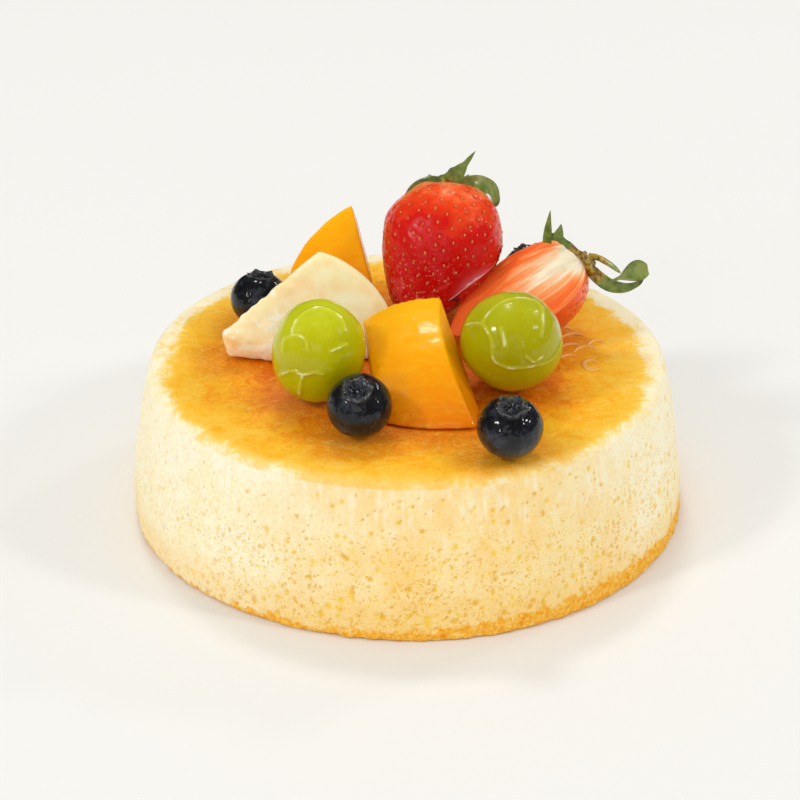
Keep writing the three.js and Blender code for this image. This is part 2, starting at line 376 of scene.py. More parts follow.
CAKE_RADIUS = 71.2  # where the side is upright, near the foot
CAKE_HEIGHT = 41.8
TOP_INSET = 4.6
TOP_ROUNDING = 3.4
TOP_SAG = 0.5
CAKE_SEGMENTS = 720
FOOT_ROUNDING = 1.4
SIDE_STEP = 0.6  # height of the side's rows
PORE_COUNT = 2300
PORES_REACH = 37  # height up to which there are pores
PORE_DEPTH = 0.2


def cake_profile():
    """[radius, height] from beside the middle of the foot to beside the middle of the top."""
    edge = CAKE_HEIGHT - TOP_SAG
    top_radius = CAKE_RADIUS - TOP_INSET
    foot_radius = CAKE_RADIUS - FOOT_ROUNDING
    rows = [(share * foot_radius, 0) for share in (0.3, 0.6, 0.85, 1)]
    for angle in np.radians([-65, -40, -15]):
        rows.append((foot_radius + FOOT_ROUNDING * math.cos(angle),
                     FOOT_ROUNDING + FOOT_ROUNDING * math.sin(angle)))
    for height in np.arange(1.8, edge - TOP_ROUNDING, SIDE_STEP):
        above = max(0, (height - 7) / (edge - TOP_ROUNDING - 7))
        rows.append((CAKE_RADIUS - TOP_INSET * above**1.5, height))
    for angle in np.radians(np.linspace(4, 88, 12)):
        rows.append((top_radius - TOP_ROUNDING * (1 - math.cos(angle)),
                     edge - TOP_ROUNDING * (1 - math.sin(angle))))
    for share in np.linspace(0.925, 0.02, 42):
        rows.append((share * top_radius, CAKE_HEIGHT - TOP_SAG * share**4))
    return np.array(rows)


def cake_unevenness(angle, radius, height):
    """The cake's slow waves: how far a point goes out and up, in millimetres."""
    share = np.clip(height / CAKE_HEIGHT, 0, 1)
    slow = 0.35 * np.sin(2 * angle + 0.6) + 0.3 * np.sin(3 * angle - 1.1)
    bulge = (slow + 0.25 * np.sin(5 * angle + 2)) * np.sin(np.pi * np.minimum(1, 0.15 + share))
    out = smoothstep(0.6 * CAKE_RADIUS, CAKE_RADIUS, radius)
    spread = 0.9 * np.maximum(0, np.cos(angle + 0.6)) * np.maximum(0, 1 - 3 * share)
    swell = 0.22 * np.sin(2 * angle + 1.4) + 0.18 * np.sin(3 * angle + 0.4)
    wave = (swell + 0.12 * np.sin(7 * angle)) * smoothstep(8, CAKE_RADIUS, radius)
    return out * (spread + bulge), np.where(share > 0.5, wave, 0)


def scattered_pores(smallest, largest):
    """Seeded pores on the side: angle, height and radius. Lower down they are more and larger."""
    angle = rng.uniform(0, 2 * np.pi, PORE_COUNT)
    height = PORES_REACH * rng.uniform(0, 1, PORE_COUNT) ** 1.3
    size = smallest + (largest - smallest) * rng.uniform(0, 1, PORE_COUNT) ** 3
    return angle, height, size * (1.12 - 0.4 * height / PORES_REACH)


def pore_depths(angle, height, on_side):
    """How deep the pores cut at each point: 0 on the skin, 1 in the middle of a pore."""
    depth = np.zeros(len(angle))
    rows = np.round(height / SIDE_STEP).astype(int)
    by_row = {row: np.flatnonzero((rows == row) & on_side) for row in np.unique(rows)}
    for pore_angle, pore_height, size in zip(*scattered_pores(0.3, 0.95)):
        lowest = int((pore_height - 1.6 * size) / SIDE_STEP)
        highest = int((pore_height + 1.6 * size) / SIDE_STEP)
        for row in range(lowest, highest + 2):
            index = by_row.get(row)
            if index is None:
                continue
            across = (angle[index] - pore_angle + np.pi) % (2 * np.pi) - np.pi
            distance = np.hypot(across * CAKE_RADIUS, height[index] - pore_height)
            depth[index] = np.maximum(depth[index], np.clip(1.35 - distance / size, 0, 1))
    return depth


def fruit_feet():
    """Where the fruit stands on the cake: the (x, y) of each fruit's lowest points."""
    feet = []
    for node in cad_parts:
        if node == "cake" or node.endswith("_cap"):
            continue
        points = node_points(node)
        low = points[:, 2].min()
        reach = 2.5 if "berry" in node or "grape" in node else 1.5
        feet.append(points[points[:, 2] < low + reach][:, :2])
    return np.concatenate(feet)


def build_cake():
    profile = cake_profile()
    angle, radius, height = spun(profile, CAKE_SEGMENTS)
    out, rise = cake_unevenness(angle, radius, height)

    on_side = (radius > CAKE_RADIUS - 7) & (height > 1) & (height < CAKE_HEIGHT - 4)
    place = rounded(angle, radius, height)
    side = smoothstep(0.6, 3, height) * smoothstep(CAKE_RADIUS - 9, CAKE_RADIUS - 5, radius)
    waves = lumps(place * (1, 1, 0.8), (0.3, 9, 3)) + lumps(place, (0.11, 2.4, 5))
    creases = lumps(place * (1, 1, 0.28), (0.26, 1.7, 9))
    under_edge = smoothstep(22, 36, height) * smoothstep(CAKE_HEIGHT, CAKE_HEIGHT - 4, height)
    pore = pore_depths(angle, height, on_side)
    out += side * (waves + creases * under_edge) - PORE_DEPTH * pore
    ragged = lumps(place, (0.5, 3.1, 12), (0.25, 1.1, 15))
    out += ragged * smoothstep(3.2, 0.4, height) * smoothstep(CAKE_RADIUS - 5, CAKE_RADIUS - 2, radius)

    on_top = (height > CAKE_HEIGHT - 3) * smoothstep(CAKE_RADIUS, CAKE_RADIUS - 8, radius)
    rise += on_top * lumps(place, (0.16, 13, 21), (0.07, 4, 24))

    place += rounded(angle, out, rise)
    place = np.concatenate([place, [[0, 0, 0], [0, 0, CAKE_HEIGHT]]])
    attributes = {
        "pore": np.append(pore, [0, 0]),
        "browning_and_sheen": top_browning_and_sheen(place, np.append(radius, [0, 0])),
        "top": np.append(on_top, [0, 1]),
        "wet": wetness(place) * np.append(height > CAKE_HEIGHT - 6, [False, True]),
    }
    faces = capped_ring_faces(len(profile), CAKE_SEGMENTS)
    cake = make_object("cheesecake", place, faces, attributes)
    finish_piece(cake, cake_material(), "cake", "cake")


def top_browning_and_sheen(place, radius):
    """How brown the top is: 0 at the rim, 0.42 just inside it and nearly 1 in the middle, a little less at
    the right, where the paler patch is partly painted sheen of the wet glaze.
    """
    angle = np.arctan2(place[:, 1], place[:, 0])
    to_front = np.maximum(0, -np.sin(angle))
    edge = 60.5 + 6.6 * to_front**0.8 - 2.5 * np.maximum(0, np.sin(angle))
    uneven = lumps(place, (1.6, 16, 31), (0.9, 5, 34))
    inside = smoothstep(edge + 2.5, edge - 3, radius + uneven)
    further = smoothstep(edge, edge - 34, radius + 2 * uneven)
    # paler patch at the right: partly painted sheen of the wet glaze
    paler_with_sheen = 0.14 * smoothstep(34, 54, place[:, 0]) * smoothstep(-40, -10, place[:, 1])
    return (0.42 * inside + 0.54 * further) * (1 - paler_with_sheen)


def wetness(place):
    """How thickly the glaze lies: 1 beside the fruit, 0 from about 13 mm away."""
    feet = fruit_feet()
    nearest = np.full(len(place), 1e9)
    for block in np.array_split(feet, max(1, len(feet) // 60)):
        gaps = np.hypot(place[:, None, 0] - block[None, :, 0], place[:, None, 1] - block[None, :, 1])
        nearest = np.minimum(nearest, gaps.min(axis=1))
    return smoothstep(13, 3, nearest + 2.4 * soft_noise(place, 7, 41))


WRINKLES = (  # arcs of jelly: middle from the grape's, radius, start and sweep in degrees
    (15.5, 30.5, 3.2, 50, 110),
    (17.8, 26.0, 3.8, 40, 125),
    (17.0, 20.5, 3.4, 55, 100),
    (20.5, 18.5, 3.8, 45, 115),
    (23.5, 23.5, 2.6, 35, 130),
    (21.2, 13.5, 2.0, 20, 310),
    (15.8, 15.5, 2.6, 60, 100),
)


def build_wrinkles():
    """Raised arcs of clear jelly on the top, behind and to the right of the right grape."""
    middle = node_middle("grape_right")
    stations, columns = 26, 10
    parts = []
    for right, back, reach, start, sweep in WRINKLES:
        share = np.linspace(0, 1, stations)
        bearing = np.radians(start + sweep * share)
        x = middle[0] + right + reach * np.cos(bearing)
        y = middle[1] + back + 1.4 * reach * np.sin(bearing)
        radius = np.hypot(x, y)
        rise = cake_unevenness(np.arctan2(y, x), radius, np.full(stations, CAKE_HEIGHT))[1]
        height = CAKE_HEIGHT - TOP_SAG * (radius / (CAKE_RADIUS - TOP_INSET)) ** 4 + rise
        half = 0.12 + 0.6 * np.sin(math.pi * share) ** 0.7
        rings = []
        for turn in full_turn(columns):
            away = rounded(bearing, half * math.cos(turn), 0.45 * half * math.sin(turn))
            rings.append(np.stack([x, y, height], axis=1) + away)
        points = np.stack(rings, axis=1).reshape(-1, 3)
        ends = [[x[end], y[end], height[end]] for end in (0, -1)]
        parts.append((np.concatenate([points, ends]), capped_ring_faces(stations, columns)))
    points, faces = joined(parts)
    points[:, :2] += 0.25 * np.stack([soft_noise(points, 2.2, seed) for seed in (140, 143)], axis=1)
    s = Shader("jelly_wrinkles", Roughness=0.25)
    colour = s.mix(s.noise(1.6, 3), (252, 176, 62), (255, 206, 128))
    s.feed(Base_Color=colour, Coat_Normal=glaze_on(s, 1.0, 2.0, 0.3))
    finish_piece(make_object("jelly_wrinkles", points, faces), s.material)


def cake_material():
    s = Shader("cake", Roughness=0.62, Specular_IOR_Level=0.15)
    top, pore, browning_and_sheen, wet = (s.attribute(key) for key in ("top", "pore", "browning_and_sheen", "wet"))
    x, y, height = s.split(s.place())

    side = side_colour(s, pore, x, y, height)
    side = s.mix(foot_crust(s, x, height), side, baked_colour(s))
    colour = s.mix(top, side, top_colour(s, browning_and_sheen, wet))

    wrinkles = s.noise(2.1, 5, 0.55, 1.6, kind="RIDGED_MULTIFRACTAL")
    skin = s.bump(wrinkles, 0.35, 0.45)
    grain = s.bump(s.minus(s.noise(0.9, 4, 0.65), pore), 0.35, 0.5)
    rough = s.minus(0.72, s.times(top, 0.27))
    gloss = s.times(s.plus(s.times(wet, 0.85), 0.15), top)
    ripples = s.bump(s.noise(2.6, 3, 0.5, 2.6), 1.5, 0.9)
    s.bsdf.inputs["Coat Roughness"].default_value = 0.12
    s.bsdf.inputs["Coat IOR"].default_value = 1.35
    s.translucent(0.2, 2.0, 1.0, 0.6, 0.25)
    return s.feed(Base_Color=colour, Roughness=rough, Normal=s.mix_vectors(top, grain, skin),
                  Coat_Weight=gloss, Coat_Normal=ripples)


SPECKS = (  # distance apart, reach of a speck's middle and of its edge, strength
    (2.4, 0.13, 0.25, 0.85),
    (1.3, 0.18, 0.32, 0.9),
    (0.7, 0.24, 0.4, 0.8),
)


def side_colour(s, pore, x, y, height):
    """Pale yellow crumb, deeper at the front, paler at the left as painted light from the left, with amber
    specks, fewer at the top, left and back.
    """
    patches = s.noise(11, 3, 0.55)
    crumb = s.noise(0.9, 4, 0.65)
    fine = s.noise(0.42, 2, 0.6)
    pale = s.mix(s.fit(patches, 0.35, 0.68), (255, 248, 220), (255, 243, 204))
    deep = s.mix(s.fit(patches, 0.35, 0.68), (255, 230, 170), (255, 214, 136))
    # deeper towards the front and right, paler at the back and the left; the paler left is painted light from
    # the left
    towards_front = s.minus(y, s.times(x, 0.22))
    cream = s.mix(s.fit(towards_front, -46, -71), pale, deep)
    cream = s.mix(s.fit(height, 16, 4, 0.0, 0.45), cream, (252, 208, 120))
    cream = s.mix(s.times(s.fit(crumb, 0.45, 0.62), 0.35), cream, (250, 208, 128))
    cream = s.mix(s.fit(fine, 0.56, 0.68, 0.0, 0.3), cream, (255, 246, 216))

    lower = s.fit(height, 38, 16)
    spot = 0.0
    for size, low, high, share in SPECKS:
        ragged = s.plus(s.cells(size), s.swing(s.noise(0.5, 2), 0.3))
        dots = s.fit(ragged, low, high, 1.0, 0.0)
        patchy = s.fit(s.noise(4 * size, 2), 0.42, 0.56)
        spot = s.math("MAXIMUM", spot, s.times(s.times(dots, patchy), share))
    spot = s.times(spot, lower)
    upright = s.stretch(s.place(), (1.0, 1.0, 0.16))
    streaks = s.fit(s.noise(1.9, 3, 0.6, 0.0, upright), 0.48, 0.68, 0.0, 0.45)
    cream = s.mix(s.times(streaks, s.fit(height, 18, 34)), cream, (255, 250, 230))
    hole = s.math("MAXIMUM", spot, s.fit(pore, 0.1, 0.85, 0.0, 0.85))
    fewer = s.times(s.fit(x, -66, -16, 0.45, 0.92), s.fit(y, 30, -30, 0.6, 1.0))
    amber = s.mix(s.fit(s.noise(4, 2), 0.4, 0.6), (234, 174, 8), (250, 208, 48))
    return s.mix(s.times(hole, fewer), cream, amber)


def foot_crust(s, x, height):
    """The browned foot: a ragged band, widest at the right."""
    ragged = s.times(s.noise(3.4, 6, 0.75), -12.0)
    to_right = s.times(s.fit(x, -30, 48), -3.0)
    far_left = s.fit(x, -30, -66, 0.0, 1.6)
    edge = s.plus(s.plus(height, ragged), s.plus(to_right, far_left))
    return s.fit(edge, -3.1, -4.5)


def baked_colour(s):
    return s.ramp(s.noise(1.1, 4, 0.7), (0.3, (234, 142, 16)), (0.5, (250, 182, 52)),
                  (0.7, (255, 222, 132)))


def top_colour(s, browning_and_sheen, wet):
    """The baked top: cream at the rim, golden and then orange further in, with brown patches."""
    mottle = s.noise(6.5, 6, 0.68, 1.2)
    fibres = s.noise(2.6, 5, 0.62, 2.2)
    shown = s.plus(browning_and_sheen, s.swing(mottle, 0.95))
    shown = s.plus(shown, s.swing(fibres, 0.5))
    baked = s.ramp(shown, (0.0, (255, 242, 204)), (0.12, (255, 226, 156)),
                  (0.26, (255, 203, 74)), (0.5, (255, 187, 30)), (0.74, (255, 162, 10)),
                  (1.0, (224, 104, 0)))
    baked = s.mix(s.times(wet, s.fit(browning_and_sheen, 0.15, 0.6, 0.0, 0.5)), baked, (244, 124, 0))
    burnt = s.times(s.fit(s.noise(3.2, 5, 0.7, 1.4), 0.52, 0.64), s.fit(browning_and_sheen, 0.4, 0.75))
    baked = s.mix(s.times(burnt, 0.4), baked, (206, 98, 2))
    golden = s.times(s.fit(s.noise(4.0, 4, 0.65, 2.0), 0.54, 0.66), s.fit(browning_and_sheen, 0.2, 0.4))
    return s.mix(s.times(golden, 0.4), baked, (255, 206, 92))


# ------------ strawberries

GOLDEN_ANGLE = math.radians(137.508)
WHOLE = {
    "node": "strawberry_whole", "slot": "strawberry",
    "axes": axes_from((0.1, 0.43, 0.89), (0, -1, 0)),
    "length": 39.5, "width": 31.8, "widest_at": 0.6, "fullness": 2.8, "dimple": 1.8, "hook": 5,
    "phase": 0.5, "slope": 0.18,
}
HALF = {
    "node": "strawberry_half", "slot": "cut_strawberry",
    "axes": axes_from((0.858, 0.205, 0.47), (-0.4, -0.36, 0.86)),
    "length": 39.4, "width": 28.0, "widest_at": 0.6, "fullness": 2.1, "dimple": 1.2, "hook": 0,
    "phase": 0, "slope": -0.08,
}
SEEDED_SHARE = 0.93  # of a berry's skin, from the tip
SEED_SINK = 0.1
PIT_REACH = 0.8


def berry_profile(berry, below, above):
    """[radius, height] from the tip to the hollowed top of a strawberry."""
    radius, length, widest_at = berry["width"] / 2, berry["length"], berry["widest_at"]
    rows = []
    for share in np.linspace(0.06, 1, below) ** 1.7:
        rows.append((radius * (1 - (1 - share) ** 1.75) ** 0.72, share * widest_at * length))
    for turn in np.linspace(0, math.pi / 2, above + 1)[1:-1]:
        share = math.cos(turn) ** 0.8
        dome = math.sqrt(1 - share ** berry["fullness"])
        hollow = berry["dimple"] * math.exp(-((share / 0.34) ** 2))
        rows.append((radius * share, length * (widest_at + (1 - widest_at) * dome) - hollow))
    return np.array(rows)


def berry_point(berry, angle, radius, height):
    """A point of a strawberry's skin in its own frame."""
    share = height / berry["length"]
    phase = berry["phase"]
    flat = 0.025 * np.cos(2 * (angle - phase)) + 0.02 * np.cos(3 * angle + 4 * share + phase)
    tilt = 0.35 * radius / berry["width"] * np.sin(3 * angle + phase) * share
    to_tip = np.maximum(0, 1 - height / (berry["widest_at"] * berry["length"]))
    sloping = berry["slope"] * smoothstep(0.7, 0.95, share) * np.maximum(0, -np.sin(angle))
    reach = radius * (1 + flat - sloping)
    side = reach * np.sin(angle) - berry["hook"] * to_tip**1.6
    return np.stack([reach * np.cos(angle), side, height + tilt], axis=-1)


def seed_spots(berry, spacing):
    """(angle, radius, height, slope) of the seeds: an even spiral over the skin."""
    profile = berry_profile(berry, 300, 200)
    steps = np.hypot(*np.diff(profile, axis=0).T)
    area = np.concatenate([[0], np.cumsum(2 * np.pi * profile[1:, 0] * steps)])
    seeded = area[-1] * SEEDED_SHARE
    count = int(seeded / (0.87 * spacing**2))
    spots = []
    for i in range(count):
        target = (i + 0.5) / count * seeded
        row = int(np.searchsorted(area, target))
        radius, height = profile[row]
        ahead = profile[min(row + 3, len(profile) - 1)] - profile[max(row - 3, 0)]
        angle = i * GOLDEN_ANGLE + rng.normal(0, 0.03)
        spots.append((angle, radius, height, math.atan2(ahead[1], ahead[0])))
    return spots


def seeds_on(berry, spots):
    """Small pointed grains, one in each pit: (points, faces) in the berry's own frame."""
    rows, columns = 5, 8
    parts = []
    for angle, radius, height, slope in spots:
        along = rounded(angle, math.cos(slope), math.sin(slope))
        outward = rounded(angle, math.sin(slope), -math.cos(slope))
        across = np.cross(along, outward)
        middle = berry_point(berry, angle, radius, height) - outward * SEED_SINK
        long, wide, thick = rng.uniform(0.38, 0.5), rng.uniform(0.24, 0.31), 0.2
        ring = []
        for polar in np.linspace(0.18, 0.82, rows) * math.pi:
            for turn in full_turn(columns):
                reach = math.sin(polar) ** 1.2
                ring.append(middle + along * long * math.cos(polar)
                            + across * wide * reach * math.cos(turn)
                            + outward * thick * reach * math.sin(turn))
        ring.append(middle + along * long)
        ring.append(middle - along * long)
        parts.append((np.array(ring), capped_ring_faces(rows, columns)))
    return joined(parts)


def pitted(points, normals, spots, berry, depth):
    """Sinks a pit round each seed. Returns the points and how deep in a pit each of them is."""
    pit = np.zeros(len(points))
    for angle, radius, height, _ in spots:
        gap = np.linalg.norm(points - berry_point(berry, angle, radius, height), axis=1)
        pit = np.maximum(pit, np.exp(-((gap / PIT_REACH) ** 2)))
    return pushed(points, normals, -depth * pit), pit


def to_place(points, axes, node, body=None):
    """Turns points out of a piece's own frame and puts their box's middle on the node's.

    Points that belong to a body are moved as the body's own points are.
    """
    turned = (points if body is None else body) @ axes
    return points @ axes + node_middle(node) - (turned.min(axis=0) + turned.max(axis=0)) / 2


def finish_berry(berry, skin, faces, normals, spots, depth, material, attributes):
    """Sinks pits of that depth into the skin, lays the seeds in them and puts the berry in its place."""
    node, axes, slot = berry["node"], berry["axes"], berry["slot"]
    points, pit = pitted(skin, normals, spots, berry, depth)
    seeds, seed_faces = seeds_on(berry, spots)
    fruit = make_object(node + "_fruit", to_place(points, axes, node, skin), faces,
                        {**attributes, "pit": pit})
    finish_piece(fruit, material, slot, node)
    grains = make_object(node + "_seeds", to_place(seeds, axes, node, skin), seed_faces)
    finish_piece(grains, seed_material(), slot)


def build_whole_strawberry():
    columns = 230
    profile = berry_profile(WHOLE, 100, 70)
    angle, radius, height = spun(profile, columns)
    skin = berry_point(WHOLE, angle, radius, height)
    ends = [berry_point(WHOLE, 0.0, 0.0, 0.0), berry_point(WHOLE, 0.0, 0.0, profile[-1, 1])]
    skin = np.concatenate([skin, ends])
    faces = capped_ring_faces(len(profile), columns)
    normals = point_normals(skin, faces)
    spots = seed_spots(WHOLE, 3.5)
    skin = pushed(skin, normals, lumps(skin, (0.34, 8, 2), (0.06, 1.6, 4)))
    share = np.append(height, [0, profile[-1, 1]]) / WHOLE["length"]
    finish_berry(WHOLE, skin, faces, normals, spots, 0.24, strawberry_material(), {"share": share})


def build_half_strawberry():
    back, across = 131, 66
    profile = berry_profile(HALF, 90, 60)
    rows, share, on_face, side = [], [], [], []
    for radius, height in profile:
        turn = np.linspace(np.pi / 2, 3 * np.pi / 2, back)
        ring = berry_point(HALF, turn, radius, height)
        step = np.linspace(-1, 1, across + 2)[1:-1]
        middle = (ring[0] + ring[-1]) / 2
        half = (ring[0] - ring[-1]) / 2
        cut = middle + step[:, None] * half
        cut[:, 0] += 0.5 * (1 - step**2) * min(1, radius / 6)
        rows.append(np.concatenate([ring, cut]))
        share.extend([height / HALF["length"]] * (back + across))
        on_face.extend([0.0] * back + [1.0] * across)
        side.extend([0.0] * back + list(step))
    skin = np.concatenate(rows + [[[0, 0, 0], [0, 0, profile[-1, 1]]]])
    share, on_face, side = (np.append(values, [0, 0]) for values in (share, on_face, side))
    share[-1] = profile[-1, 1] / HALF["length"]
    faces = capped_ring_faces(len(profile), back + across)
    normals = point_normals(skin, faces)
    spots = [s for s in seed_spots(HALF, 3.0) if math.cos(s[0]) < -0.1]
    fibres = soft_noise(np.stack([4 * side, 0.35 * skin[:, 2] / 4, on_face], axis=1), 0.6, 8)
    skin = pushed(skin, normals, 0.1 * soft_noise(skin, 5, 6) + 0.09 * fibres * on_face)
    attributes = {"share": share, "face": on_face, "side": side}
    finish_berry(HALF, skin, faces, normals, spots, 0.3, half_strawberry_material(), attributes)


def glaze_on(s, weight, lump, depth):
    """A clear jelly coat: smooth, with lumps and runs of its own."""
    s.bsdf.inputs["Coat Roughness"].default_value = 0.05
    s.bsdf.inputs["Coat IOR"].default_value = 1.27
    s.bsdf.inputs["Coat Weight"].default_value = weight
    s.bsdf.inputs["Specular IOR Level"].default_value = 0.12
    return s.bump(s.noise(lump, 2, 0.45, 0.8), depth)


def strawberry_skin(s, share, pit):
    """Orange-red at the shoulder and deep red towards the tip, with painted shade darkening the seed pits."""
    patches = s.noise(7, 3, 0.55)
    along = s.plus(share, s.swing(patches, 0.5))
    colour = s.ramp(along, (0.0, (216, 30, 24)), (0.4, (200, 4, 8)), (0.68, (214, 20, 6)),
                    (0.86, (240, 74, 24)), (0.97, (250, 130, 72)))
    # darker round the seeds: painted shade in the pits
    pit_shade = s.fit(pit, 0.12, 0.55)
    return s.mix(s.times(pit_shade, 0.14), colour, (160, 6, 6))


def strawberry_material():
    s = Shader("strawberry", Roughness=0.34)
    share, pit = s.attribute("share"), s.attribute("pit")
    # a rosy glaze film towards the tip, partly painted sheen of the glaze
    film_and_sheen = s.times(s.fit(s.noise(4.5, 4, 0.6, 0.8), 0.5, 0.64), s.fit(share, 0.48, 0.2))
    colour = s.mix(s.times(film_and_sheen, 0.3), strawberry_skin(s, share, pit), (232, 104, 104))
    # small pale pink flecks towards the tip: painted glints of the glaze
    painted_glints = s.times(s.fit(s.noise(0.9, 2, 0.5), 0.6, 0.66), s.fit(share, 0.55, 0.3))
    colour = s.mix(s.times(painted_glints, 0.35), colour, (250, 176, 172))
    fine = s.bump(s.noise(0.7, 3, 0.6), 0.12, 0.5)
    s.translucent(0.25, 1.6, 1.0, 0.25, 0.15)
    smooth = glaze_on(s, 0.8, 3.2, 0.5)
    beads = s.bump(s.noise(1.2, 2, 0.5), 0.26, 0.9, smooth)
    return s.feed(Base_Color=colour, Normal=fine, Coat_Normal=beads)


def half_strawberry_material():
    s = Shader("cut_strawberry", Roughness=0.36)
    share, pit, face, side = (s.attribute(key) for key in ("share", "pit", "face", "side"))
    skin = s.mix(0.6, strawberry_skin(s, share, pit), (246, 104, 34))
    out = s.math("ABSOLUTE", side)
    lines = s.combine(s.times(side, 6.5), s.times(share, 2.4), face)
    streaks = s.noise(1.0, 4, 0.6, 0.5, lines)
    core = s.times(s.fit(out, 1.0, 0.1), s.fit(share, 0.3, 0.92, 0.1, 0.9))
    veins = s.times(s.fit(streaks, 0.4, 0.7), s.fit(share, 0.1, 0.8, 0.15, 0.42))
    pale = s.plus(core, veins)
    pale = s.plus(pale, s.fit(share, 0.84, 0.97, 0.0, 0.6))
    flesh = s.ramp(pale, (0.0, (252, 98, 38)), (0.25, (255, 124, 54)), (0.6, (254, 180, 120)),
                   (0.95, (254, 240, 208)))
    flesh = s.mix(s.fit(out, 0.9, 1.0, 0.0, 0.5), flesh, (252, 98, 36))
    colour = s.mix(face, skin, flesh)
    relief = s.bump(streaks, 0.2, 0.4)
    s.translucent(0.3, 1.8, 1.0, 0.4, 0.2)
    return s.feed(Base_Color=colour, Normal=relief, Coat_Normal=glaze_on(s, 0.7, 4.0, 0.4))


def seed_material():
    s = Shader("seed", Roughness=0.35, Coat_Weight=0.6)
    tint = s.noise(1.4, 2)
    colour = s.ramp(tint, (0.3, (214, 92, 30)), (0.55, (232, 138, 62)), (0.8, (200, 112, 40)))
    return s.feed(Base_Color=colour, Normal=s.bump(s.noise(0.3, 2), 0.05, 0.4))


# ------------ leaves


def smooth_path(points, count):
    """A smooth curve through the points (Catmull-Rom)."""
    points = np.asarray(points, float)
    padded = np.concatenate([[2 * points[0] - points[1]], points, [2 * points[-1] - points[-2]]])
    result = []
    for t in np.linspace(0, len(points) - 1, count):
        i = min(int(t), len(points) - 2)
        f = t - i
        a, b, c, d = padded[i:i + 4]
        result.append(0.5 * (2 * b + (c - a) * f + (2 * a - 5 * b + 4 * c - d) * f**2
                             + (3 * b - a - 3 * c + d) * f**3))
    return np.array(result)


LEAF_THICKNESS = 0.34


def leaf(path, faces_to, width, cup=0.25, teeth=0.0, base=0.45, point=3.2):
    """A leaf along a path whose broad side looks towards faces_to: (points, faces).

    faces_to may be one direction, or one for each point of the path.
    """
    stations, across = 30, 9
    line = smooth_path(path, stations)
    looks = np.asarray(faces_to, float)
    looks = smooth_path(looks if looks.ndim == 2 else [looks] * len(path), stations)
    along = np.gradient(line, axis=0)
    rings = []
    for i in range(stations):
        share = i / (stations - 1)
        ahead = unit(along[i])
        side = unit(np.cross(ahead, looks[i]))
        up = np.cross(side, ahead)
        full = base + (1 - base) * math.sin(math.pi * min(1, 1.35 * share + 0.04))
        taper = (1 - share**point) ** 0.9 + 0.02
        half = width / 2 * full * taper * (1 + teeth * math.sin(share * 31))
        step = np.linspace(-1, 1, across)
        bend = cup * half * step**2 - 0.16 * LEAF_THICKNESS * np.exp(-((step / 0.16) ** 2))
        thick = LEAF_THICKNESS * (1 - 0.55 * step**2) * (1 - 0.6 * share)
        upper = line[i] + step[:, None] * half * side + (bend + thick / 2)[:, None] * up
        lower = line[i] + step[:, None] * half * side + (bend - thick / 2)[:, None] * up
        rings.append(np.concatenate([upper, lower[::-1][1:-1]]))
    points = np.concatenate(rings + [[line[0]], [line[-1]]])
    return points, capped_ring_faces(stations, 2 * across - 2)


def knob(radius, height, axes):
    """The woody middle of a cap, in the world's directions about its foot: (points, faces)."""
    columns = 28
    outline = [(0.75, -0.4), (1, 0), (0.95, 0.3), (0.7, 0.55), (0.42, 0.75), (0.3, 1.0), (0.2, 1.02)]
    rings = []
    turn = full_turn(columns)
    for reach, rise in outline:
        lobes = 1 + 0.1 * np.cos(7 * turn + rise)
        rings.append(rounded(turn, radius * reach * lobes, np.full(columns, height * rise)))
    points = np.concatenate(rings + [[[0, 0, -0.4 * height]], [[0, 0, 0.9 * height]]])
    return points @ axes, capped_ring_faces(len(outline), columns)


def on_berry(points, berry):
    """Points of a strawberry's own frame, in the world."""
    turn = np.linspace(0, 2 * np.pi, 60)
    if berry is HALF:
        turn = np.linspace(np.pi / 2, 3 * np.pi / 2, 60)
    skin = np.concatenate([berry_point(berry, turn, *row) for row in berry_profile(berry, 30, 20)])
    return to_place(np.asarray(points, float), berry["axes"], berry["node"], skin)


def berry_top(berry):
    """Where a strawberry's cap sits: just over the middle of its hollowed top."""
    clearance = 0.2
    return on_berry([[0, 0, berry["length"] - berry["dimple"] + clearance]], berry)[0]


def skin_curve(berry, angle, shares, lift):
    """Points over a strawberry's skin, at angles about its axis and at shares of its length."""
    profile = berry_profile(berry, 100, 60)
    heights = shares * berry["length"]
    radii = np.interp(heights, profile[:, 1], profile[:, 0]) + lift
    return on_berry(berry_point(berry, angle, radii, heights), berry)


def build_groove_jelly():
    """Jelly that has run into the groove between the two strawberries."""
    rows, columns = 60, 24
    ridge_at = 0.6
    share = np.linspace(0, 1, rows)
    above = skin_curve(WHOLE, np.radians(6 + 36 * share), 0.25 + 0.27 * share, 0.1)
    ridge = skin_curve(WHOLE, np.radians(30 + 36 * share), 0.2 + 0.28 * share, 0.5)
    profile = berry_profile(HALF, 100, 60)
    heights = (0.16 + 0.34 * share) * HALF["length"]
    edge = np.interp(heights, profile[:, 1], profile[:, 0])
    below = on_berry(np.stack([0.3 + 0 * edge, -0.96 * edge, heights], axis=1), HALF)
    swell = np.sin(math.pi * (0.02 + 0.96 * share)) ** 0.7
    above = ridge + swell[:, None] * (above - ridge)
    across = np.linspace(0, 1, columns)
    to_ridge = np.minimum(1, across / ridge_at)[:, None]
    past_ridge = np.maximum(0, (across - ridge_at) / 0.4)[:, None]
    lift = 0.1 + 0.6 * np.sin(math.pi * across) + 0.25 * np.exp(-(((across - ridge_at) / 0.06) ** 2))
    rings = []
    for i in range(rows):
        line = above[i] + to_ridge * (ridge[i] - above[i]) + past_ridge * (below[i] - ridge[i])
        outer = line + np.outer(lift * swell[i], SEEN_NEAR)
        rings.append(np.concatenate([outer, (outer - 0.5 * SEEN_NEAR)[::-1]]))
    points = np.concatenate(rings + [[rings[0].mean(axis=0)], [rings[-1].mean(axis=0)]])
    points[:, 1] -= 0.2 * soft_noise(points, 2.6, 130)
    fading = np.where(across < ridge_at, across * swell[:, None], across)
    band = np.append(np.concatenate([fading, fading[:, ::-1]], axis=1).ravel(), [0.0, 0.0])
    jelly = make_object("groove_jelly", points, capped_ring_faces(rows, 2 * columns), {"across": band})
    finish_piece(jelly, jelly_material())


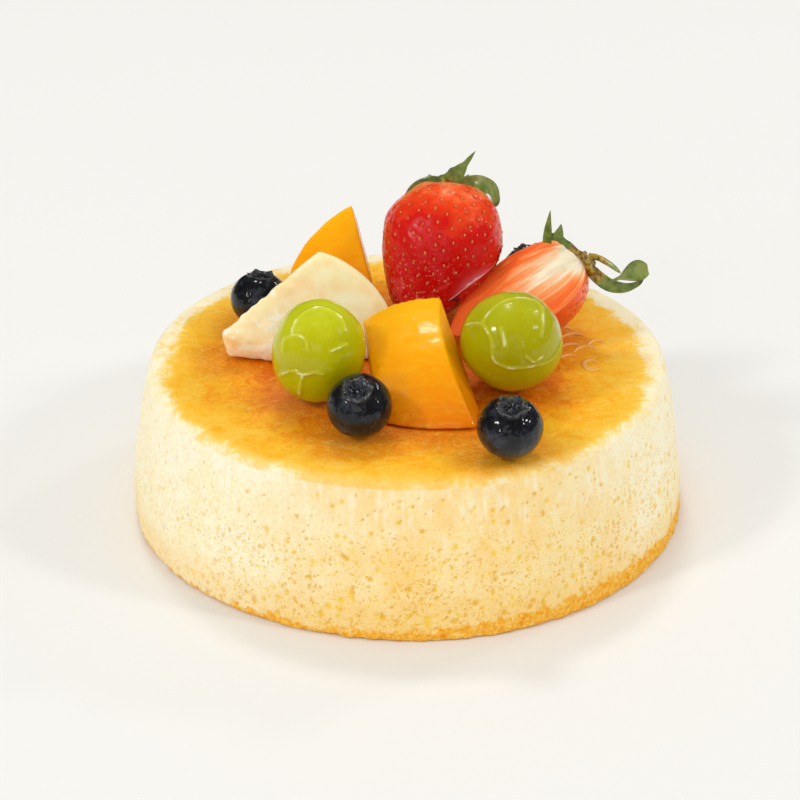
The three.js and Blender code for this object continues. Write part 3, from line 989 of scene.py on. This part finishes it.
def jelly_material():
    """Rosy where it lies on the berry, partly a painted reflection in the glaze; pale along its ridge, a
    painted highlight; and dark over the groove, a painted shadow.
    """
    s = Shader("jelly", Roughness=0.2)
    wander = s.swing(s.noise(2.4, 3, 0.6, 0.8), 0.14)
    across = s.plus(s.attribute("across"), wander)
    # rosy band: partly painted reflection; pale line: painted highlight; dark maroon: painted shadow of the
    # groove
    colour = s.ramp(across, (0.0, (200, 16, 16)), (0.26, (198, 34, 38)), (0.48, (206, 92, 102)),
                    (0.6, (250, 224, 228)), (0.68, (116, 16, 26)), (0.88, (120, 16, 20)),
                    (1.0, (226, 70, 40)))
    s.translucent(0.3, 1.0)
    return s.feed(Base_Color=colour, Normal=s.bump(across, 0.2, 0.3), Coat_Normal=glaze_on(s, 1.0, 2.2, 0.4))


def build_cap(berry, shift, stem, leaves, dry_within, dryness):
    """A woody middle and its leaves, dry near the middle. Leaves start from the berry's shifted top."""
    points, faces = joined([knob(*stem, berry["axes"])] + leaves)
    dry = dryness * smoothstep(dry_within[1], dry_within[0], np.linalg.norm(points, axis=1))
    top = berry_top(berry) + shift
    cap = make_object(berry["node"] + "_leaves", points + top, faces, {"dry": dry})
    finish_piece(cap, leaf_material(), "leaf", berry["node"] + "_cap")


def build_caps():
    """The leaves follow the berries' shoulders."""
    build_cap(WHOLE, (0, 0, 0), (2.9, 1.6), [
        leaf([(0.4, -1, 0), (1.8, -2, 2.8), (4.2, -2.4, 6.4), (7.2, -2.2, 10.6)],
             (-0.5, -0.85, 0.3), 5.4, 0.2, 0.05),
        leaf([(0, 0, 0), (-4.5, -1.5, 0.5), (-9.5, -3, -0.4), (-11.6, -4.4, -3.6)],
             (-0.3, -0.7, 0.7), 5.2, 0.3),
        leaf([(1.4, -0.6, 0.4), (5.6, -1.6, 0.9), (8.8, -2.8, 1.2), (11.4, -3.6, 0.2), (12.4, -4.6, -2.6),
              (10.8, -4.8, -4.2)],
             [(0, -0.5, 0.9), (0.1, -0.7, 0.8), (0.5, -0.8, 0.5), (0.6, -0.8, 0.1), (0.3, -0.9, -0.1),
              (-0.2, -0.9, -0.2)], 4.8, 0.35, 0.0, 0.6, 6.0),
        leaf([(0, 1, 0.3), (-3, 6, 0), (-5, 9, -3)], (0, 0.4, 1), 5.5, 0.3),
        leaf([(1, 1, 0.3), (4, 6, 0), (6, 9, -3.5)], (0, 0.4, 1), 5.2, 0.3),
    ], (2, 4.5), 0.6)
    build_cap(HALF, (1.9, -2.8, -0.9), (3.3, 2.2), [
        leaf([(0.5, 0, -1.2), (3.4, -0.5, -3.9), (6.5, -0.8, -5.8), (10.2, -0.8, -6.3), (13.3, -0.8, -5.1),
              (14.8, -0.9, -3.6)], (0.0, -0.9, 0.4), 3.6, 0.35, 0.0, 0.8, 2.4),
        leaf([(15.6, -1.2, -1.0), (12.6, -1.6, -1.4), (9.0, -1.6, -3.0), (5.4, -1.2, -4.6)],
             (-0.3, -0.8, 0.5), 6.0, 0.3, 0.0, 0.35, 1.9),
        leaf([(0.3, -0.2, 2.3), (2.9, -0.3, 1.7), (6, -0.4, -0.1), (8.8, -0.5, -2.4)],
             (0.1, -0.6, 0.9), 1.9, 0.1, 0.0, 0.9, 8.0),
        leaf([(-0.8, 1.2, 1.2), (-5.3, 3.8, 4.2), (-8.0, 4.3, 5.7), (-9.4, 4.6, 6.2)],
             (-0.3, -0.8, 0.5), 1.8, 0.2, 0.1, 0.9, 8.0),
        leaf([(-9.9, 4.5, 3.9), (-9.7, 4.8, 8.4), (-9.4, 5, 12.8)],
             (-0.5, -0.85, 0.2), 2.7, 0.2, 0.0, 0.9, 1.6),
        leaf([(-7.7, 4.6, 4.4), (-7.0, 4.8, 6.8), (-6.5, 5, 9.0)],
             (0.1, -0.9, 0.3), 3.2, 0.2, 0.0, 0.9, 1.6),
        leaf([(0, 0.6, 0), (-0.6, 5.6, -1.4), (-0.9, 8.8, -6.1)], (0.8, 0.5, 0), 4.6, 0.3),
    ], (3, 9), 1)


def leaf_material():
    s = Shader("leaf", Roughness=0.42, Coat_Weight=0.35)
    patches = s.noise(4.5, 4, 0.6)
    green = s.ramp(patches, (0.28, (56, 80, 24)), (0.46, (98, 122, 42)), (0.62, (140, 154, 72)),
                   (0.8, (152, 130, 66)))
    brown = s.ramp(s.noise(1.1, 3, 0.6), (0.35, (84, 60, 14)), (0.5, (150, 116, 20)),
                   (0.7, (196, 172, 60)))
    dry = s.plus(s.attribute("dry"), s.minus(s.noise(2.6, 3), 0.5))
    colour = s.mix(s.fit(dry, 0.3, 0.7), green, brown)
    veins = s.noise(1.2, 3, 0.6, 0.6, kind="RIDGED_MULTIFRACTAL")
    s.bsdf.inputs["Coat Roughness"].default_value = 0.15
    s.translucent(0.1, 0.8)
    return s.feed(Base_Color=colour, Normal=s.bump(veins, 0.2, 0.5))


# ------------ peach and pear

FLESH_VOXEL = 0.42


def build_cut_fruit():
    for place, seed in (("front", 50), ("back", 60)):
        node, name = "peach_" + place, "peach_chunk_" + place
        points, faces = softened_copy(node, FLESH_VOXEL, 5)
        relief = lumps(points, (0.22, 7, seed), (0.07, 2, seed + 3))
        peach = make_object(name, pushed(points, point_normals(points, faces), relief), faces)
        finish_piece(peach, peach_material(name, node), "peach", node)

    points, faces = softened_copy("pear", FLESH_VOXEL, 130)
    low, high = (corner[0] for corner in node_box("pear"))
    gritty = smoothstep(low + 0.62 * (high - low), low + 0.3 * (high - low), points[:, 0])
    rough = lumps(points, (0.9, 5.2, 70), (0.3, 2, 73))
    relief = 0.85 * gritty * rough + lumps(points, (0.1, 7, 76))
    pear = make_object("pear_slice", pushed(points, point_normals(points, faces), relief), faces,
                       {"gritty": gritty})
    finish_piece(pear, pear_material(), "pear", "pear")


def peach_material(name, node):
    s = Shader(name, Roughness=0.33)
    fibres = s.noise(1.0, 3, 0.6, 0.4, s.stretch(s.place(), (0.28, 1.0, 0.5)))
    # deeper orange low down and yellower at the top: painted light and shade from above, with random patches
    # of tone
    tone = s.plus(s.height_share(node), s.swing(s.noise(9, 3, 0.5), 0.5))
    colour = s.ramp(tone, (0.0, (240, 128, 0)), (0.35, (248, 150, 0)), (0.75, (255, 172, 0)),
                    (1.0, (255, 184, 8)))
    colour = s.mix(s.fit(fibres, 0.45, 0.7, 0.0, 0.25), colour, (255, 198, 40))
    s.translucent(0.35, 2.4, 1.0, 0.5, 0.1)
    coat = glaze_on(s, 0.5, 5, 0.35)
    return s.feed(Base_Color=colour, Normal=s.bump(fibres, 0.12, 0.5), Coat_Normal=coat)


def pear_material():
    s = Shader("pear_slice", Roughness=0.3)
    gritty = s.attribute("gritty")
    patches = s.noise(6, 4, 0.55)
    colour = s.ramp(patches, (0.3, (255, 220, 162)), (0.55, (255, 236, 188)), (0.78, (255, 244, 212)))
    colour = s.mix(s.times(gritty, 0.3), colour, (246, 212, 168))
    # white patches, most on the gritty end: painted highlights of the wet glaze
    wet = s.times(s.fit(s.noise(4.6, 3, 0.5, 1.2), 0.5, 0.66), s.plus(gritty, 0.1))
    colour = s.mix(s.times(wet, 0.6, True), colour, (255, 250, 240))
    grains = s.times(s.plus(gritty, 0.15), s.cells(0.9))
    s.translucent(0.8, 5, 1.0, 0.7, 0.45)
    return s.feed(Base_Color=colour, Normal=s.bump(grains, 0.15, 0.3), Coat_Normal=glaze_on(s, 1.0, 3.4, 0.6))


# ------------ grapes

SEEN_RIGHT = np.array([1.0, 0, 0])
SEEN_UP = np.array([0, 0.46, 0.89])
SEEN_NEAR = np.array([0, -0.89, 0.46])


def seen_direction(right, up):
    """The direction on a round fruit that lies right and up, in shares of its radius, from the front."""
    near = math.sqrt(max(0.0, 1 - right * right - up * up))
    return SEEN_RIGHT * right + SEEN_UP * up + SEEN_NEAR * near


def jelly_edge(directions, line, breadth):
    """1 on a line over a round fruit, falling off within about breadth, in shares of the radius."""
    path = unit_rows(smooth_path([seen_direction(*spot) for spot in line], 14 * len(line)))
    gap = np.full(len(directions), 9.0)
    for spot in path:
        gap = np.minimum(gap, np.linalg.norm(directions - spot, axis=1))
    return np.exp(-((gap / breadth) ** 2))


GRAPES = {
    "grape_left": {
        "axes": axes_from((0.17, 0, 0.985), (0, -1, 0)),
        "size": (23.4, 26.0),
        "dark": 0.0,
        "edges": [
            [(-0.72, -0.02), (-0.66, 0.22), (-0.42, 0.3), (-0.22, 0.2), (-0.18, 0.02)],
            [(-0.78, -0.5), (-0.55, -0.42), (-0.3, -0.5), (-0.05, -0.46), (0.12, -0.5)],
            [(-0.5, 0.3), (-0.36, 0.62), (0, 0.8), (0.4, 0.66), (0.56, 0.4)],
            [(0.3, -0.02), (0.62, 0.12)],
            [(-0.3, -0.5), (-0.36, -0.85)],
        ],
    },
    "grape_right": {
        "axes": axes_from((0.157, -0.893, 0.4226), (1, 0, 0)),
        "size": (25.4, 27.0),
        "dark": 0.35,
        "edges": [
            [(-0.9, 0.3), (-0.6, 0.3), (-0.42, 0.02), (-0.36, -0.36), (-0.1, -0.5), (0.36, -0.46),
             (0.72, -0.34), (0.92, -0.02)],
            [(-0.6, 0.3), (-0.3, 0.66), (0.1, 0.8), (0.5, 0.7), (0.52, 0.36), (0.48, 0.1)],
            [(-0.24, 0.2), (-0.16, -0.1)],
            [(0.22, -0.3), (0.36, -0.38), (0.5, -0.3)],
        ],
    },
}


def build_grape(node):
    """A grape whose jelly stands in thin raised edges and runs."""
    grape = GRAPES[node]
    width, length = grape["size"]
    rows, columns = 130, 190
    polar = np.linspace(-np.pi / 2, np.pi / 2, rows + 2)[1:-1]
    profile = np.stack([width / 2 * np.cos(polar) ** 0.94, length / 2 * np.sin(polar)], axis=1)
    angle, radius, height = spun(profile, columns)
    radius = radius * (1 + 0.012 * np.cos(2 * angle + 0.8) + 0.008 * np.cos(3 * angle + height / 4))
    own = np.concatenate([rounded(angle, radius, height), [[0, 0, -length / 2], [0, 0, length / 2]]])
    points = to_place(own, grape["axes"], node)
    directions = unit_rows(points - node_middle(node))
    relief = lumps(points, (0.42, 8.5, 80), (0.05, 3, 84)) - 0.2
    ridge = np.zeros(len(points))
    for number, line in enumerate(grape["edges"]):
        ridge = np.maximum(ridge, jelly_edge(directions, line, 0.034 + 0.011 * (number % 3)))
    points = pushed(points, directions, relief + 0.42 * ridge)
    fruit = make_object(node + "_fruit", points, capped_ring_faces(rows, columns), {"ridge": ridge})
    finish_piece(fruit, grape_material(node), "grape", node)


def grape_material(node):
    s = Shader(node, Roughness=0.28)
    tone = s.plus(s.height_share(node), s.swing(s.noise(8, 3, 0.55), 0.6))
    colour = s.ramp(tone, (0.05, (178, 186, 0)), (0.4, (176, 168, 0)), (0.75, (188, 186, 0)),
                    (1.0, (200, 204, 36)))
    colour = s.mix(GRAPES[node]["dark"], colour, (136, 124, 0))
    flecks = s.fit(s.noise(1.2, 2, 0.5), 0.62, 0.75, 0.0, 0.2)
    colour = s.mix(flecks, colour, (214, 214, 120))
    ridge = s.attribute("ridge")
    colour = s.mix(s.times(ridge, 0.2), colour, (222, 222, 96))
    glints = s.times(s.fit(ridge, 0.55, 0.9), s.fit(s.noise(2.6, 1), 0.53, 0.6))
    colour = s.mix(s.times(glints, 0.35), colour, (255, 255, 236))
    s.translucent(0.45, 3.0, 0.8, 1.0, 0.1)
    return s.feed(Base_Color=colour, Coat_Normal=glaze_on(s, 1.0, 4, 0.3),
                  Normal=s.bump(s.noise(2.5, 3), 0.08, 0.4))


# ------------ blueberries

BLUEBERRY_CROWNS = {  # which way each one's crown points: bearing from +X, and elevation, in degrees
    "blueberry_front_left": (-98, 60),
    "blueberry_front_right": (-85, 72),
    "blueberry_back_left": (50, 82),
    "blueberry_back_right": (135, 80),
}


def facing(bearing, elevation):
    above = math.radians(elevation)
    return rounded(math.radians(bearing), math.cos(above), math.sin(above))


def build_blueberry(node, number, material):
    """A flattened ball with a ragged five-pointed crown round a hollow."""
    columns = 120
    low, high = node_box(node)
    radius = (high - low)[:2].mean() / 2
    crown = 0.4 * radius
    turn = full_turn(columns)
    point = np.cos(5 * turn + number) * 0.5 + 0.5
    ragged = point**0.7 + 0.2 * np.sin(11 * turn + 2 * number)
    squash = 0.92
    rings, lip = [], []

    def ring(reach, rise, worn):
        rings.append(rounded(turn, reach, rise * np.ones(columns)))
        lip.extend([worn] * columns)

    def skin_height(reach):
        return squash * math.sqrt(max(0, radius**2 - reach**2))

    for latitude in np.radians(np.linspace(-86, 62, 72)):
        ring(radius * math.cos(latitude), squash * radius * math.sin(latitude), 0.0)
    top = skin_height(crown)
    ring(1.2 * crown, skin_height(1.2 * crown), 0.1)
    ring(crown * (0.96 + 0.22 * ragged), top + 0.04 * crown * ragged, 0.5)
    ring(crown * (0.94 + 0.28 * ragged), top + 0.13 * crown * ragged, 1.0)
    ring(crown * (0.86 + 0.24 * ragged), top + 0.12 * crown * ragged - 0.04, 0.9)
    ring(crown * (0.74 + 0.1 * ragged), top - 0.04 * crown, 0.5)
    ring(crown * (0.64 - 0.2 * ragged), top - 0.16 * crown, 0.1)
    ring(crown * (0.5 - 0.2 * ragged), top - 0.34 * crown, 0.0)
    ring(0.2 * crown, top - 0.4 * crown, 0.0)
    ring(0.1 * crown, top - 0.34 * crown, 0.3)
    own = np.concatenate(rings + [[[0, 0, -squash * radius]], [[0, 0, top - 0.33 * crown]]])
    points = to_place(own, axes_from(facing(*BLUEBERRY_CROWNS[node]), (1, 0, 0)), node)
    relief = lumps(points, (0.14, 4.5, 90 + number), (0.03, 1, 95))
    points = pushed(points, unit_rows(points - node_middle(node)), relief)
    berry = make_object(node + "_fruit", points, capped_ring_faces(len(rings), columns),
                        {"lip": np.append(lip, [0, 0.5])})
    finish_piece(berry, material, "blueberry", node)


def blueberry_material():
    s = Shader("blueberry", Roughness=0.5)
    bloom = s.fit(s.noise(3.2, 4, 0.62, 0.6), 0.46, 0.7)
    scuffs = s.fit(s.noise(0.9, 4, 0.7, 1.0), 0.55, 0.72)
    colour = s.mix(s.times(bloom, 0.7), (16, 16, 22), (56, 60, 70))
    colour = s.mix(s.times(scuffs, 0.2), colour, (78, 80, 84))
    worn = s.times(s.attribute("lip"), s.fit(s.noise(0.8, 3, 0.6), 0.4, 0.62, 0.15, 0.7))
    colour = s.mix(worn, colour, (112, 112, 112))
    jelly = glaze_on(s, 0.9, 3, 0.3)
    s.bsdf.inputs["Coat IOR"].default_value = 1.36
    return s.feed(Base_Color=colour, Normal=s.bump(s.noise(0.8, 3, 0.6), 0.12, 0.5), Coat_Normal=jelly)


# ------------ the stage

CAMERA_ELEVATION = math.radians(27.557)
CAMERA_DISTANCE = 598.3
CAMERA_TARGET = np.array([-1.87, 0.3, 27.64])
CAMERA_LENS = 103.5
FLOOR_COLOURS = [0.842, 0.83, 0.797, 1], [0.842, 0.832, 0.8, 1]  # linear red, green, blue, alpha
SKY_STRENGTH = 0.64
SOFT_BOXES = {  # where each one stands, its sides and its power, in metres and watts
    "left_box": ((-1.5, -0.9, 1.5), (0.24, 0.34), 10.5),
    "right_box": ((1.6, -0.5, 1.3), (0.2, 0.3), 7.1),
    "top_box": ((-0.2, 1.0, 2.0), (0.36, 0.28), 8.4),
    "front_box": ((-0.3, -2.0, 1.0), (1.4, 0.9), 5.2),
    "low_left_box": ((-1.3, -1.5, 0.8), (0.12, 0.2), 1.6),
    "back_right_box": ((1.3, 1.1, 1.3), (0.2, 0.2), 3.0),
}


def build_camera():
    data = bpy.data.cameras.new("camera")
    data.lens = CAMERA_LENS
    data.clip_start, data.clip_end = 0.05, 20
    camera = add_to_scene("camera", data)
    back = Vector((0, -math.cos(CAMERA_ELEVATION), math.sin(CAMERA_ELEVATION)))
    camera.location = Vector(CAMERA_TARGET * MM) + back * CAMERA_DISTANCE * MM
    camera.rotation_mode = "QUATERNION"
    camera.rotation_quaternion = (-back).to_track_quat("-Z", "Y")
    bpy.context.scene.camera = camera


def soft_box(name, place, size, power):
    data = bpy.data.lights.new(name, "AREA")
    data.shape = "RECTANGLE"
    data.size, data.size_y = size
    data.energy = power
    lamp = add_to_scene(name, data)
    lamp.location = place
    lamp.rotation_mode = "QUATERNION"
    lamp.rotation_quaternion = (Vector((0, 0, 0.04)) - Vector(place)).to_track_quat("-Z", "Y")


def build_stage():
    bpy.ops.mesh.primitive_plane_add(size=8, location=(0, 0, 0))
    floor = bpy.context.object
    floor.name = "floor"
    s = Shader("floor", Roughness=0.9, Specular_IOR_Level=0.1)
    s.feed(Base_Color=s.mix(s.noise(60, 2), *FLOOR_COLOURS))
    floor.data.materials.append(s.material)

    world = bpy.data.worlds.new("studio")
    world.use_nodes = True
    background = world.node_tree.nodes["Background"]
    background.inputs["Color"].default_value = (1, 1, 1, 1)
    background.inputs["Strength"].default_value = SKY_STRENGTH
    world.cycles_visibility.glossy = False
    bpy.context.scene.world = world
    for name, (place, size, power) in SOFT_BOXES.items():
        soft_box(name, place, size, power)
    bpy.context.scene.view_settings.view_transform = "Standard"


build_camera()
build_stage()
build_cake()
build_whole_strawberry()
build_half_strawberry()
build_groove_jelly()
build_wrinkles()
build_caps()
build_cut_fruit()
for grape_node in GRAPES:
    build_grape(grape_node)
blueberry_skin = blueberry_material()
for berry_number, berry_node in enumerate(BLUEBERRY_CROWNS):
    build_blueberry(berry_node, berry_number, blueberry_skin)
